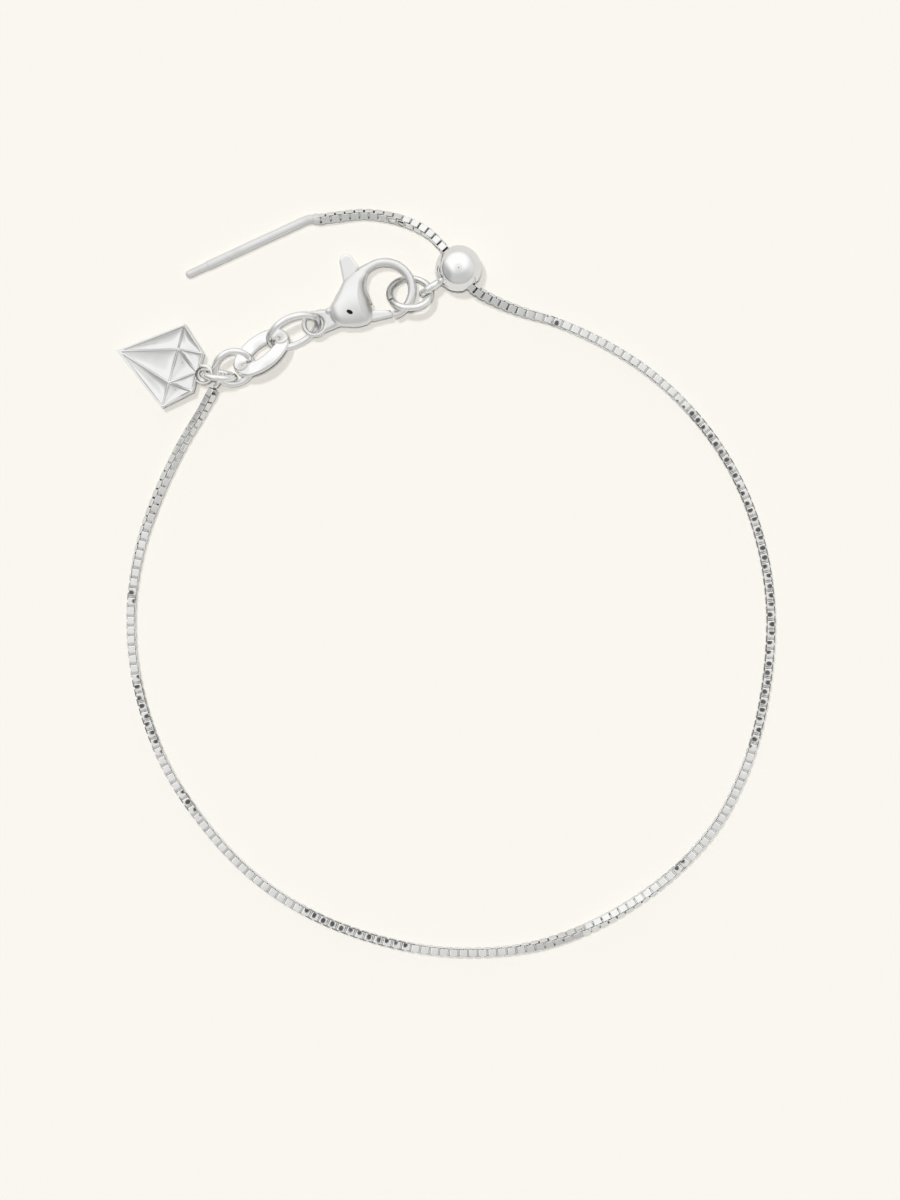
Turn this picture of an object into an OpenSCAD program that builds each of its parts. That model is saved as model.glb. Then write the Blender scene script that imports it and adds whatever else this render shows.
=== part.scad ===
// Slider bracelet of box chain, as it lies on a table: a chain with a threading needle at its
// free end runs through a slider ball, and a lobster claw, hooked into the ball's ring, closes
// the loop. Origin: on the table, under the middle of the whole bracelet. +Z is up.

/* [Box chain] */
// Width across the square box chain
chain_w = 0.9; // [0.8:0.05:1]
// Height of the chain above the table where it joins its end loop
chain_end_z = 0.95; // [0.8:0.05:1.1]

/* [Threading needle] */
// Diameter of the needle's shaft
needle_d = 0.9; // [0.8:0.05:1.1]
// Length of the straight shaft, without its tip
needle_l = 10.7; // [8:0.1:13]
// Diameter of the thinner tip
tip_d = 0.74; // [0.5:0.02:0.78]
// Length of the thinner tip
tip_l = 2.2; // [1.5:0.1:3]
// Radius of the bend behind the shaft, at its centre line
needle_bend_r = 2; // [1.5:0.1:3]
// Turn of that bend
needle_bend_turn = 26; // [10:1:35]
// Diameter of the collar soldered to the chain
collar_d = 1.1; // [1:0.05:1.3]
// Length of the collar
collar_l = 0.7; // [0.5:0.1:1.2]

/* [Slider ball] */
// Diameter of the slider ball
ball_d = 4.6; // [4.2:0.1:5]
// Diameter of the hole that the chain runs through
ball_hole_d = 1.46; // [1.4:0.02:1.8]
// Outer diameter of the loop soldered to the ball
ball_loop_d = 2.8; // [2.6:0.05:3]
// Wire of that loop
ball_loop_wire = 0.6; // [0.5:0.05:0.65]
// How deep the loop is sunk into the ball
ball_loop_sink = 0.35; // [0.25:0.05:0.5]

/* [Jump rings] */
// Outer diameter of the split ring that the claw hooks into
hook_ring_d = 4.8; // [4.7:0.05:5]
// Wire of that ring
hook_ring_wire = 0.66; // [0.6:0.02:0.7]
// Width of its seam, in degrees
seam_turn = 3; // [1:1:6]
// Outer diameter of the ring that gathers chain, charm and links
hub_ring_d = 4.4; // [4.2:0.05:4.6]
// Wire of the gathering ring
hub_ring_wire = 0.64; // [0.56:0.02:0.66]
// Outer diameter of the charm's ring
charm_ring_d = 3.8; // [3.6:0.05:4]
// Wire of the charm's ring
charm_ring_wire = 0.64; // [0.56:0.02:0.66]
// Outer diameter of the loop at the chain's end
end_loop_d = 1.9; // [1.8:0.05:2]
// Wire of the loop at the chain's end
end_loop_wire = 0.42; // [0.38:0.02:0.44]

/* [Oval links] */
// Outer length of the round-wire oval link
oval_link_l = 5.9; // [5.7:0.05:6.1]
// Outer width of the round-wire oval link
oval_link_w = 4.65; // [4.5:0.05:4.8]
// Wire of the round-wire oval link
oval_link_wire = 0.7; // [0.6:0.02:0.72]
// Outer length of the broad flat link
wide_link_l = 6.4; // [6.2:0.05:6.6]
// Outer width of the broad flat link
wide_link_w = 4.5; // [4.3:0.05:4.7]
// Thickness of the broad flat link
wide_link_t = 0.85; // [0.7:0.05:0.9]
// Width of its band
wide_link_band = 1.4; // [1.2:0.05:1.45]

/* [Claw clasp] */
// Radius of the hook, at the centre line of its wire
hook_r = 2.73; // [2.6:0.02:2.85]
// Wire of the hook
hook_wire = 0.84; // [0.7:0.02:0.9]
// Thickness of the clasp's body
claw_t = 3; // [2.8:0.1:3.2]
// Distance from the body's middle to its tail ring
tail_reach = 3.65; // [3.5:0.05:3.8]
// Outer diameter of the tail ring
tail_ring_d = 2.64; // [2.56:0.02:2.8]
// Hole of the tail ring
tail_hole_d = 1.76; // [1.74:0.02:1.86]
// Thickness of the tail ring
tail_ring_t = 0.74; // [0.7:0.02:0.76]

/* [Clasp lever] */
// Thickness of the lever's plate
lever_t = 0.8; // [0.6:0.05:0.9]
// Diameter of the pin that the lever turns on
pin_d = 0.6; // [0.5:0.02:0.7]
// How deep the pin's ends lie below the body's faces
pin_recess = 0.25; // [0.1:0.05:0.4]
// Radius of the thumb tab's round end
tab_r = 0.7; // [0.55:0.05:0.8]
// How far the gate turns inward when the tab is pressed
open_turn = 14; // [8:1:14]

/* [Diamond charm] */
// Length of the charm from its point to its flat top
charm_l = 8.5; // [8.2:0.1:8.8]
// Width of the charm at its widest corners
charm_w = 8.7; // [8:0.1:9.2]
// Length of the charm's flat top
charm_top_w = 4; // [3.6:0.1:4.6]
// Distance from the point to the widest corners
charm_girdle = 5.9; // [5.5:0.1:6.3]
// Thickness of the charm at its middle
charm_t = 1.3; // [1.1:0.05:1.5]
// Drop of the face from the middle to the rim
charm_crown = 0.3; // [0.1:0.05:0.4]
// Width of the raised lines between the facets
ridge_w = 0.22; // [0.14:0.02:0.3]
// Height of the raised lines
ridge_h = 0.12; // [0.06:0.02:0.2]
// Outer diameter of the charm's eyelet
eyelet_d = 2.1; // [2.05:0.05:2.2]
// Hole of the charm's eyelet
eyelet_hole_d = 1.42; // [1.4:0.02:1.46]
// Thickness of the charm's eyelet
eyelet_t = 0.45; // [0.4:0.05:0.5]
// How far the charm's flat top is lifted off the table at its eyelet
eyelet_rise = 0.78; // [0.6:0.02:0.9]

/* [Hidden] */
$fn = 64;

wire_sides = 12;
band_sides = 16;
seam_at = 208;
eyelet_out = 0.45;
facet_slope = 0.75;
facet_depth = charm_crown + ridge_h;

// Clearances
end_gap = 0.06;
slide_gap = 0.08;
pin_gap = 0.03;

// Plan places and turns as the bracelet lies, from the photograph. From the ball on, each piece is
// placed by a step from the middle of the piece that carries it
ball_at = [1.15, 31.37];
ball_hole_turn = -55.5;
ball_loop_drop = 12;
ball_loop_reach = ball_d / 2 + ball_loop_d / 2 - ball_loop_sink;
ball_loop_at = ball_at + ball_loop_reach * cos(ball_loop_drop) * turn2(ball_hole_turn + 270);
hook_ring_at = ball_loop_at + [-2.13, -0.584];
claw_turn = 26.2;
hook_reach = 1.524 * hook_r;
claw_at = hook_ring_at + [-2.516, 0.377] - hook_reach * turn2(claw_turn);
tail_at = claw_at - tail_reach * turn2(claw_turn);
oval_link_at = tail_at + [-2.125, -0.7185];
wide_link_at = oval_link_at + [-3.21, -2.13];
hub_ring_at = wide_link_at + [-2.74, -1.51];
charm_ring_at = hub_ring_at + [-1.56, -0.78];
end_loop_at = hub_ring_at + [-1.44, -1.28];
eyelet_at = charm_ring_at + [-1.46, 0.11];
charm_turn = -15.4;
needle_turn = 204.8;
// Each: middle in plan, its height, turn in plan, rise of its left side, rise along its length
hook_ring_lie = [hook_ring_at, 1.82, 1.8, -41.9, 0];
oval_link_lie = [oval_link_at, 1.9, 24.1, 50.7, -2.8];
wide_link_lie = [wide_link_at, 1.84, 38.8, -43.6, -4.4];
hub_ring_lie = [hub_ring_at, 1.88, 15.9, 34.1, 0];
charm_ring_lie = [charm_ring_at, 1.87, -6.2, -77.3, 0];
end_loop_lie = [end_loop_at, 1.42, 54.8, 94.1, 0];

// Points of the chain's middle line from its end loop to the ball: x, y, and how far it is
// lifted off the table
loop_route = [
    [-24.6, 17, 0], [-26.8, 13.3, 0], [-29.2, 8.1, 0], [-30.9, 2.8, 0],
    [-31.6, -2.7, 0], [-31.3, -8.3, 0], [-30, -13.8, 0], [-27.8, -19, 0], [-24.6, -23.8, 0],
    [-20.8, -28.1, 0], [-16.2, -31.7, 0], [-10.6, -34.5, 0], [-4, -36.4, 0], [2.7, -37, 0],
    [9.5, -36.2, 0], [16.1, -33.6, 0], [22, -29.6, 0], [26.7, -24.6, 0], [29.6, -19.2, 0],
    [31.3, -13.8, 0], [32.2, -8.2, 0], [32.4, -2.7, 0], [31.7, 2.8, 0], [30.1, 8.1, 0],
    [27.6, 13, 0], [24.3, 17.3, 0], [20.3, 21, 0], [15.8, 23.9, 0], [11, 26.1, 0],
    [7.4, 27.2, 0.15], [4.4, 28.4, 0.9]
];
// The same from the ball to the needle
tail_route = [
    [-1.9, 35.2, 0.9], [-4.6, 36.4, 0.2], [-8, 36.85, 0]
];
// Needle end of the chain, in plan
needle_at = [-12.66, 36.42];

// Sweeps along points
function unit(v) = v / norm(v);
function turn2(a) = [cos(a), sin(a)];
function turn3(a) = [cos(a), sin(a), 0];
function spline_point(p, i, t) =
    let (n = len(p) - 1, a = p[max(i - 1, 0)], b = p[i], c = p[min(i + 1, n)], d = p[min(i + 2, n)])
    0.5 * (2 * b + (c - a) * t + (2 * a - 5 * b + 4 * c - d) * t * t
           + (3 * b - a - 3 * c + d) * t * t * t);
function spline(p, step) =
    [for (i = [0 : len(p) - 2])
         let (n = max(1, round(norm(p[i + 1] - p[i]) / step)))
         for (k = [0 : n - 1]) spline_point(p, i, k / n),
     p[len(p) - 1]];
function tangent(p, i) = unit(p[min(i + 1, len(p) - 1)] - p[max(i - 1, 0)]);
function ring_points(c, side, up, shape) = [for (s = shape) c + side * s[0] + up * s[1]];
function tube_ring(p, i, shape) =
    let (t = tangent(p, i), side = unit(cross(t, [0, 0, 1])))
    ring_points(p[i], side, cross(side, t), shape);
function round_shape(r, n) = [for (k = [0 : n - 1]) r / cos(180 / n) * turn2((k + 0.5) * 360 / n)];

// A closed skin over rings of points, with flat ends or joined into a loop
module skin(rings, closed = false) {
    n = len(rings[0]);
    m = len(rings);
    function at(i, k) = (i % m) * n + k % n;
    sides = [for (i = [0 : closed ? m - 1 : m - 2], k = [0 : n - 1])
        each [[at(i, k), at(i, k + 1), at(i + 1, k + 1)], [at(i, k), at(i + 1, k + 1), at(i + 1, k)]]];
    ends = closed ? [] : [[for (k = [n - 1 : -1 : 0]) k], [for (k = [0 : n - 1]) at(m - 1, k)]];
    polyhedron([for (r = rings) each r], concat(sides, ends));
}

module lie(how)
    translate([how[0][0], how[0][1], how[1]])
        rotate([0, 0, how[2]])
            rotate([0, -how[4], 0])
                rotate([how[3], 0, 0])
                    children();

// A wire ring round the Z axis, with a seam at the end of its turn
module wire_ring(outer_d, wire, seam = 0)
    rotate([0, 0, seam / 2])
        rotate_extrude(angle = 360 - seam)
            translate([(outer_d - wire) / 2, 0])
                circle(d = wire);

// Four arcs that meet smoothly in an oval: centre, radius, start and turn of each
oval_end_share = 0.74;
oval_steps = 12;
function oval_side_r(a, b, r) = ((a - r) * (a - r) + b * b - r * r) / (2 * (b - r));
function oval_arcs(a, b) =
    let (r = oval_end_share * b, side = oval_side_r(a, b, r), half = atan2(side - b, a - r))
    [[[a - r, 0], r, -half, 2 * half], [[0, b - side], side, half, 180 - 2 * half],
     [[r - a, 0], r, 180 - half, 2 * half], [[0, side - b], side, 180 + half, 180 - 2 * half]];
function oval_rings(a, b, shape) =
    [for (arc = oval_arcs(a, b), k = [0 : oval_steps - 1])
        let (out = turn2(arc[2] + arc[3] * k / oval_steps), c = arc[0] + arc[1] * out)
        [for (s = shape) [c[0] + s[0] * out[0], c[1] + s[0] * out[1], s[1]]]];
function capsule_shape(half_w, half_h, n) =
    let (r = min(half_w, half_h), grow = [half_w - r, half_h - r])
    [for (k = [0 : n - 1])
        let (d = turn2((k + 0.5) * 360 / n))
        [r * d[0] + sign(d[0]) * grow[0], r * d[1] + sign(d[1]) * grow[1]]];

// Slider ball, and where the chain passes through it
ball_z = ball_d / 2;
ball_c = [ball_at[0], ball_at[1], ball_z];
ball_out = turn2(ball_hole_turn);
function ball_side(s, share, drop) =
    [ball_at[0] + s * share * ball_d / 2 * ball_out[0], ball_at[1] + s * share * ball_d / 2 * ball_out[1],
     ball_z - drop];
module slider_ball() color("gainsboro")
    translate(ball_c)
        rotate([0, 0, ball_hole_turn + 270])
            rotate([0, ball_loop_drop, 0])
                difference() {
                    union() {
                        sphere(d = ball_d);
                        translate([ball_loop_reach, 0, 0])
                            rotate([90, 0, 0])
                                wire_ring(ball_loop_d, ball_loop_wire);
                    }
                    rotate([90, 0, 0])
                        cylinder(d = ball_hole_d, h = 2 * ball_d, center = true);
                }

// Claw clasp: its frame lies at the body's middle, +X from the tail ring to the hook
claw_z = claw_t / 2;
hook_c = [hook_reach, 0];
pivot = [0, -0.2 * hook_r];
hook_from = 88;
hook_to = -95.5;
hook_steps = 16;
claw_sides = 16;
claw_step = 0.18;
// Body sections: outer edge x and y, inner edge x and y, as shares of hook_r; half thickness, as
// a share of claw_t; and how full the section is, where 1 is an ellipse
claw_sections = [
    [0.13, -0.82, 0.36, -0.86, 0.08, 0.7],
    [-0.04, -0.76, 0.54, -0.83, 0.24, 0.66],
    [-0.24, -0.65, 0.68, -0.73, 0.36, 0.64],
    [-0.46, -0.46, 0.78, -0.56, 0.44, 0.64],
    [-0.62, -0.2, 0.85, -0.36, 0.49, 0.64],
    [-0.67, 0.09, 0.88, -0.15, 0.5, 0.64],
    [-0.57, 0.4, 0.9, 0.07, 0.48, 0.64],
    [-0.33, 0.63, 0.91, 0.25, 0.44, 0.66],
    [-0.05, 0.8, 0.95, 0.42, 0.385, 0.7],
    [0.27, 0.95, 1.03, 0.58, 0.32, 0.76],
    [0.6, 1.07, 1.15, 0.71, 0.25, 0.86],
    [0.93, 1.14, 1.28, 0.81, 0.19, 0.95]
];
function full(v, power) = sign(v) * pow(abs(v), power);
function claw_ring(o, i, half_t, fill = 1) =
    [for (k = [0 : claw_sides - 1])
        let (a = k * 360 / claw_sides, p = (o + i) / 2 + (o - i) / 2 * full(cos(a), fill))
        [p[0], p[1], -half_t * full(sin(a), fill)]];
function hook_ring_at(a) =
    claw_ring(hook_c + (hook_r + hook_wire / 2) * turn2(a), hook_c + (hook_r - hook_wire / 2) * turn2(a),
              hook_wire / 2);
claw_rings = concat(
    [for (s = spline(claw_sections, claw_step))
        claw_ring([s[0], s[1]] * hook_r, [s[2], s[3]] * hook_r, s[4] * claw_t, s[5])],
    [for (k = [0 : hook_steps]) hook_ring_at(hook_from + (hook_to - hook_from) * k / hook_steps)]
);
// Neck between the tail ring and the body, as shares of hook_r
neck_outline = [[-1.15, -0.42], [-0.5, -0.41], [-0.45, 0.3], [-0.58, 0.38], [-1.17, 0.5]];
neck_t = 0.9 * tail_ring_t;
// Lever points, as shares of hook_r from the pivot pin
gate_root = [0.665, -0.457];
gate_tip = [1.274, -0.672];
tab_waist = [0.45, 1.04];
tab_heel = [0.87, 1.41];
tab_end = [0.72, 1.745];
gate_root_r = 0.195 * hook_r;
gate_tip_r = 0.132 * hook_r;
lever_eye_r = 0.33 * hook_r;
tab_waist_r = 0.18 * hook_r;
tab_heel_r = 0.15 * hook_r;
module claw_place() translate([claw_at[0], claw_at[1], claw_z]) rotate([0, 0, claw_turn]) children();
bar_steps = 12;
function bar_points(a, a_r, b, b_r) =
    let (d = b - a, dir = atan2(d[1], d[0]), side = acos((a_r - b_r) / norm(d)))
    [for (k = [0 : bar_steps]) a + a_r * turn2(dir + side + (360 - 2 * side) * k / bar_steps),
     for (k = [0 : bar_steps]) b + b_r * turn2(dir - side + 2 * side * k / bar_steps)];
module bar(a, a_r, b, b_r) polygon(bar_points(a * hook_r, a_r, b * hook_r, b_r));
module lever_outline(grow = 0) {
    bar([0, 0], lever_eye_r + grow, gate_root, gate_root_r + grow);
    bar(gate_root, gate_root_r + grow, gate_tip, gate_tip_r + grow);
    bar([0, 0], lever_eye_r + grow, tab_waist, tab_waist_r + grow);
    bar(tab_waist, tab_waist_r + grow, tab_end, tab_r + grow);
    bar(tab_heel, tab_heel_r + grow, tab_end, tab_r + grow);
    bar(tab_heel, tab_heel_r + grow, tab_waist, tab_waist_r + grow);
}
module lever_room() {
    for (turn = [0, open_turn])
        rotate([0, 0, turn])
            lever_outline(slide_gap);
}
module tail_ring_blank() {
    wall = (tail_ring_d - tail_hole_d) / 2;
    bevel = 0.3 * wall;
    x = [tail_hole_d / 2, tail_hole_d / 2 + bevel, tail_ring_d / 2 - bevel, tail_ring_d / 2];
    z = [tail_ring_t / 2 - bevel, tail_ring_t / 2];
    translate([-tail_reach, 0, 0])
        rotate_extrude()
            polygon([[x[0], -z[0]], [x[1], -z[1]], [x[2], -z[1]], [x[3], -z[0]],
                     [x[3], z[0]], [x[2], z[1]], [x[1], z[1]], [x[0], z[0]]]);
}
module neck()
    translate([0, 0, -neck_t / 2])
        linear_extrude(neck_t)
            difference() {
                polygon(neck_outline * hook_r);
                translate([-tail_reach, 0])
                    circle(d = (tail_ring_d + tail_hole_d) / 2);
            }
module claw_body() color("gainsboro") claw_place()
    difference() {
        union() {
            skin(claw_rings);
            tail_ring_blank();
            neck();
        }
        translate([0, 0, -lever_t / 2 - slide_gap])
            linear_extrude(lever_t + 2 * slide_gap)
                translate(pivot)
                    lever_room();
        translate([pivot[0], pivot[1], -claw_t])
            cylinder(d = pin_d + 2 * pin_gap, h = 2 * claw_t);
    }
module claw_lever() color("silver") claw_place()
    translate([pivot[0], pivot[1], -lever_t / 2])
        difference() {
            linear_extrude(lever_t)
                lever_outline();
            translate([0, 0, -lever_t])
                cylinder(d = pin_d + 2 * pin_gap, h = 3 * lever_t);
        }
module claw_pin() color("dimgray") claw_place()
    translate(pivot)
        cylinder(d = pin_d, h = claw_t - 2 * pin_recess, center = true);

module hook_ring() color("gainsboro")
    lie(hook_ring_lie)
        rotate([0, 0, seam_at])
            wire_ring(hook_ring_d, hook_ring_wire, seam_turn);

module oval_link() color("gainsboro")
    lie(oval_link_lie)
        skin(oval_rings((oval_link_l - oval_link_wire) / 2, (oval_link_w - oval_link_wire) / 2,
                        round_shape(oval_link_wire / 2, wire_sides)), closed = true);

module wide_link() color("gainsboro")
    lie(wide_link_lie)
        skin(oval_rings((wide_link_l - wide_link_band) / 2, (wide_link_w - wide_link_band) / 2,
                        capsule_shape(wide_link_band / 2, wide_link_t / 2, band_sides)), closed = true);

module hub_ring() color("gainsboro")
    lie(hub_ring_lie)
        wire_ring(hub_ring_d, hub_ring_wire);

module charm_ring() color("gainsboro")
    lie(charm_ring_lie)
        wire_ring(charm_ring_d, charm_ring_wire, seam_turn);

module chain_end_loop() color("gainsboro")
    lie(end_loop_lie)
        wire_ring(end_loop_d, end_loop_wire);

// The chain as one square-shouldered tube
chain_step = 2.65;
chain_end_at = end_loop_at - (end_loop_d / 2 + end_gap) * turn2(end_loop_lie[2]);
collar_back = turn3(needle_turn - needle_bend_turn + 180);
collar_at = [needle_at[0], needle_at[1], collar_d / 2];
chain_line = spline(concat(
    [[chain_end_at[0], chain_end_at[1], chain_end_z]],
    [for (p = loop_route) [p[0], p[1], chain_w / 2 + p[2]]],
    [ball_side(1, 0.9, 0.05), ball_c, ball_side(-1, 0.9, 0.05)],
    [for (p = tail_route) [p[0], p[1], chain_w / 2 + p[2]]],
    [collar_at + 1.5 * collar_back, collar_at + end_gap * collar_back]
), chain_step);
chain_path = [for (p = chain_line) [p[0], p[1], max(p[2], chain_w / 2)]];
module box_chain() color("silver")
    skin([for (i = [0 : len(chain_path) - 1]) tube_ring(chain_path, i, round_shape(chain_w / 2, 8))]);

bend_overlap = 2;
bend_step = 0.04;
tip_step = 0.04;
// Needle: its frame lies on its axis at the soldered collar, +X toward the tip
module needle() color("silver")
    translate(collar_at)
        rotate([0, 0, needle_turn - needle_bend_turn]) {
            rotate([0, 90, 0])
                cylinder(d = collar_d, h = collar_l);
            translate([collar_l, needle_bend_r, 0])
                rotate([0, 0, -90 - bend_overlap])
                    rotate_extrude(angle = needle_bend_turn + 2 * bend_overlap)
                        translate([needle_bend_r, 0])
                            circle(d = needle_d - bend_step);
            translate([collar_l, 0, 0] + needle_bend_r * [sin(needle_bend_turn), 1 - cos(needle_bend_turn), 0])
                rotate([0, 90, needle_bend_turn]) {
                    cylinder(d = needle_d, h = needle_l);
                    translate([0, 0, needle_l - tip_step])
                        cylinder(d1 = tip_d + tip_step, d2 = tip_d, h = tip_l + tip_step - tip_d / 2);
                    translate([0, 0, needle_l + tip_l - tip_d / 2])
                        sphere(d = tip_d - tip_step);
                }
        }

// Charm: its frame lies under the point, +X toward the flat top, and it hangs by its eyelet
eyelet_x = charm_l + eyelet_out;
charm_lift = asin(eyelet_rise / eyelet_x);
charm_at = eyelet_at - eyelet_x * cos(charm_lift) * turn2(charm_turn);
charm_rim_t = charm_t - charm_crown - ridge_h;
charm_foot = 0.2;
module charm_place()
    translate([charm_at[0], charm_at[1], 0])
        rotate([0, 0, charm_turn])
            rotate([0, -charm_lift, 0])
                children();
// Corners of the facets: point, widest corners, nodes between them, flat top
charm_node = 0.4 * charm_w / 2;
charm_corners = [[0, 0], [charm_girdle, -charm_w / 2], [charm_l, -charm_top_w / 2],
                 [charm_l, charm_top_w / 2], [charm_girdle, charm_w / 2],
                 [charm_girdle, -charm_node], [charm_girdle, charm_node], [charm_l, 0]];
charm_rim = [0, 1, 2, 3, 4];
charm_facets = [[0, 1, 5], [0, 5, 6], [0, 6, 4], [1, 2, 5], [2, 7, 5], [5, 7, 6], [7, 3, 6], [3, 4, 6]];
function side_len(p, i) = norm(p[(i + 1) % 3] - p[(i + 2) % 3]);
function in_centre(p) =
    let (w = [for (i = [0 : 2]) side_len(p, i)])
    (w[0] * p[0] + w[1] * p[1] + w[2] * p[2]) / (w[0] + w[1] + w[2]);
function in_radius(p) =
    abs(cross(p[1] - p[0], p[2] - p[0])) / (side_len(p, 0) + side_len(p, 1) + side_len(p, 2));
function shrunk(p, by) = let (c = in_centre(p)) [for (q = p) c + (q - c) * (1 - by / in_radius(p))];
function at_height(p, z) = [for (q = p) [q[0], q[1], z]];
function charm_ring_at(grow, z) =
    [for (i = charm_rim) [charm_corners[i][0] + (i == 0 ? -grow : i == 2 || i == 3 ? grow : 0),
                          charm_corners[i][1] + sign(charm_corners[i][1]) * grow, z]];
module charm_blank() {
    skin([charm_ring_at(-charm_crown, charm_t), charm_ring_at(0, charm_rim_t),
          charm_ring_at(0, charm_foot), charm_ring_at(-charm_foot, 0)]);
    translate([eyelet_x, 0, (charm_rim_t - eyelet_t) / 2])
        cylinder(d = eyelet_d, h = eyelet_t);
}
module facet_cut(facet) {
    p = [for (i = facet) charm_corners[i]];
    edge = ridge_w / 2 + charm_crown / 2;
    deep = edge + (in_radius(p) - edge) * facet_slope;
    skin([at_height(shrunk(p, edge), 2 * charm_t), at_height(shrunk(p, edge), charm_t - ridge_h),
          at_height(shrunk(p, deep), charm_t - facet_depth)]);
}
module charm() color("gainsboro") charm_place()
    difference() {
        charm_blank();
        for (facet = charm_facets)
            facet_cut(facet);
        translate([eyelet_x, 0, -charm_t])
            cylinder(d = eyelet_hole_d, h = 3 * charm_t);
    }

box_chain();
needle();
slider_ball();
hook_ring();
claw_body();
claw_lever();
claw_pin();
oval_link();
wide_link();
hub_ring();
charm_ring();
charm();
chain_end_loop();
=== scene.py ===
import math
import random

import bmesh
import bpy
from mathutils import Matrix, Vector


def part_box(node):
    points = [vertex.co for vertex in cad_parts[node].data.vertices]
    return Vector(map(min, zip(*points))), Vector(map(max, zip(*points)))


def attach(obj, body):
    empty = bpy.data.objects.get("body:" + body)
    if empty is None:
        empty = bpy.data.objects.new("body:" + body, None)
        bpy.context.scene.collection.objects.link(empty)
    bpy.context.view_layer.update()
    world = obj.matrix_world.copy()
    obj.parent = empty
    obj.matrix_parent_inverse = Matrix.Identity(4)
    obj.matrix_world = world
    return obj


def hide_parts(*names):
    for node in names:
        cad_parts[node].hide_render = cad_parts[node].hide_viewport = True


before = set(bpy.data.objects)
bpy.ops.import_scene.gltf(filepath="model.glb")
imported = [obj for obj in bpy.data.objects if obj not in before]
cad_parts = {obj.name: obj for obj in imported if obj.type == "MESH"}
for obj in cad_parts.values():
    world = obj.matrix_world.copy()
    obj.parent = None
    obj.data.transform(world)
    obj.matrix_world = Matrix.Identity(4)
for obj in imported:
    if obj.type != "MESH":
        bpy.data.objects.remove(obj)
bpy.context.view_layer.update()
mm = 0.001  # every length below is in millimetres, and meshes are scaled to metres at the end
print("frame loaded:", len(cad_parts), "nodes")


def inScene(name, data):
    obj = bpy.data.objects.new(name, data)
    bpy.context.scene.collection.objects.link(obj)
    return obj


def rawMesh(name, points, faces):
    mesh = bpy.data.meshes.new(name)
    mesh.from_pydata([tuple(p) for p in points], [], faces)
    return mesh


# Camera: straight above, as the photograph was taken
photoView = {
    "middle": (0.3, -1.7, 0.9),  # point under the lens
    "tall": 120.0,  # what the long side of the picture takes in
    "lens": 135.0,
    "sensor": 36.0,
    "clip": (0.01, 10.0),  # metres
}


def placeCamera(view):
    camera = bpy.data.cameras.new("photoCamera")
    camera.lens, camera.sensor_width = view["lens"], view["sensor"]
    camera.clip_start, camera.clip_end = view["clip"]
    obj = inScene("photoCamera", camera)
    away = Vector((0, 0, view["tall"] * view["lens"] / view["sensor"]))
    obj.location = (Vector(view["middle"]) + away) * mm
    bpy.context.scene.camera = obj


placeCamera(photoView)
bpy.context.scene.view_settings.view_transform = "Standard"
print("camera placed")


# Shader helpers
def addNode(tree, kind, **settings):
    node = tree.nodes.new(kind)
    for name, value in settings.items():
        setattr(node, name, value)
    return node


def feed(tree, socket, source):
    # source is another socket, or a plain value
    if isinstance(source, bpy.types.NodeSocket):
        tree.links.new(source, socket)
    else:
        socket.default_value = source


def maths(tree, operation, *sources):
    node = addNode(tree, "ShaderNodeMath", operation=operation)
    for socket, source in zip(node.inputs, sources):
        feed(tree, socket, source)
    return node.outputs[0]


def eased(tree, value, low, high, outLow=0.0, outHigh=1.0):
    node = addNode(tree, "ShaderNodeMapRange", interpolation_type="SMOOTHSTEP")
    for name, source in (("Value", value), ("From Min", low), ("From Max", high),
                         ("To Min", outLow), ("To Max", outHigh)):
        feed(tree, node.inputs[name], source)
    return node.outputs["Result"]


def blendColours(tree, share, first, second, how="MIX"):
    node = addNode(tree, "ShaderNodeMix", data_type="RGBA", blend_type=how)
    feed(tree, node.inputs["Factor"], share)
    feed(tree, node.inputs[6], first)
    feed(tree, node.inputs[7], second)
    return node.outputs[2]


def noiseOf(tree, where, scale, detail=3.0):
    node = addNode(tree, "ShaderNodeTexNoise")
    feed(tree, node.inputs["Vector"], where)
    feed(tree, node.inputs["Scale"], scale)
    node.inputs["Detail"].default_value = detail
    return node.outputs["Fac"]


# Studio: pale paper in a white tent, a big soft box over the back, and a high soft key
studio = {
    "tent": 0.78,
    "softBox": 1.06,
    "softBoxFrom": (-0.1, 0.55, 0.83),
    "softBoxEdge": (34, 72),  # degrees from its middle, full and gone
    "dimSide": (0.1, -0.95, 0.3),  # the tent's front is the darker side
    "dim": 0.58,
    "dimEdge": (20, 85),
    "lens": (2.6, 3.4, 0.12),  # seen straight above: full, gone, share of light
    "hood": (7, 28, 0.84),  # the grey round the lens, in the same terms
    "westFlag": (-0.93, -0.3, 0.22),  # a grey flag hangs here
    "westDim": 0.62,
    "westEdge": (12, 46),
    "westCard": (26, 62, 0.42),  # a dark card stands under the flag: full, gone, loss of light
    "westCardTop": (3, 11),  # degrees above the table: full, gone
    "skyline": (2, 16, 0.88),  # the tent's foot: full, gone, share of light
    "paperShare": 0.2,  # how much of the tent's light reaches the paper
    "topStrength": 2.13,
    "topAngle": 6,
    "keyFrom": (-0.62, 0.78),  # in plan
    "keyHeight": 72,  # degrees above the table
    "keyStrength": 0.98,
    "keyAngle": 5,
    "paper": (0.83, 0.8075, 0.756),
    "paperShadeInMetal": (0.66, 0.648, 0.62),  # painted shade: the metal mirrors the paper in this darker colour
    "backdrop": (0.956, 0.93, 0.871),
    "paperSize": 4000.0,
}


def cosOf(degrees):
    return math.cos(math.radians(degrees))


def sinOf(degrees):
    return math.sin(math.radians(degrees))


def hangLamp(name, direction, strength, angle):
    # lights the paper alone: the metal mirrors the tent
    light = bpy.data.lights.new(name, "SUN")
    light.energy, light.angle = strength, math.radians(angle)
    lamp = inScene(name, light)
    lamp.rotation_mode = "QUATERNION"
    lamp.rotation_quaternion = Vector(direction).to_track_quat("Z", "Y")
    lamp.visible_glossy = False


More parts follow.
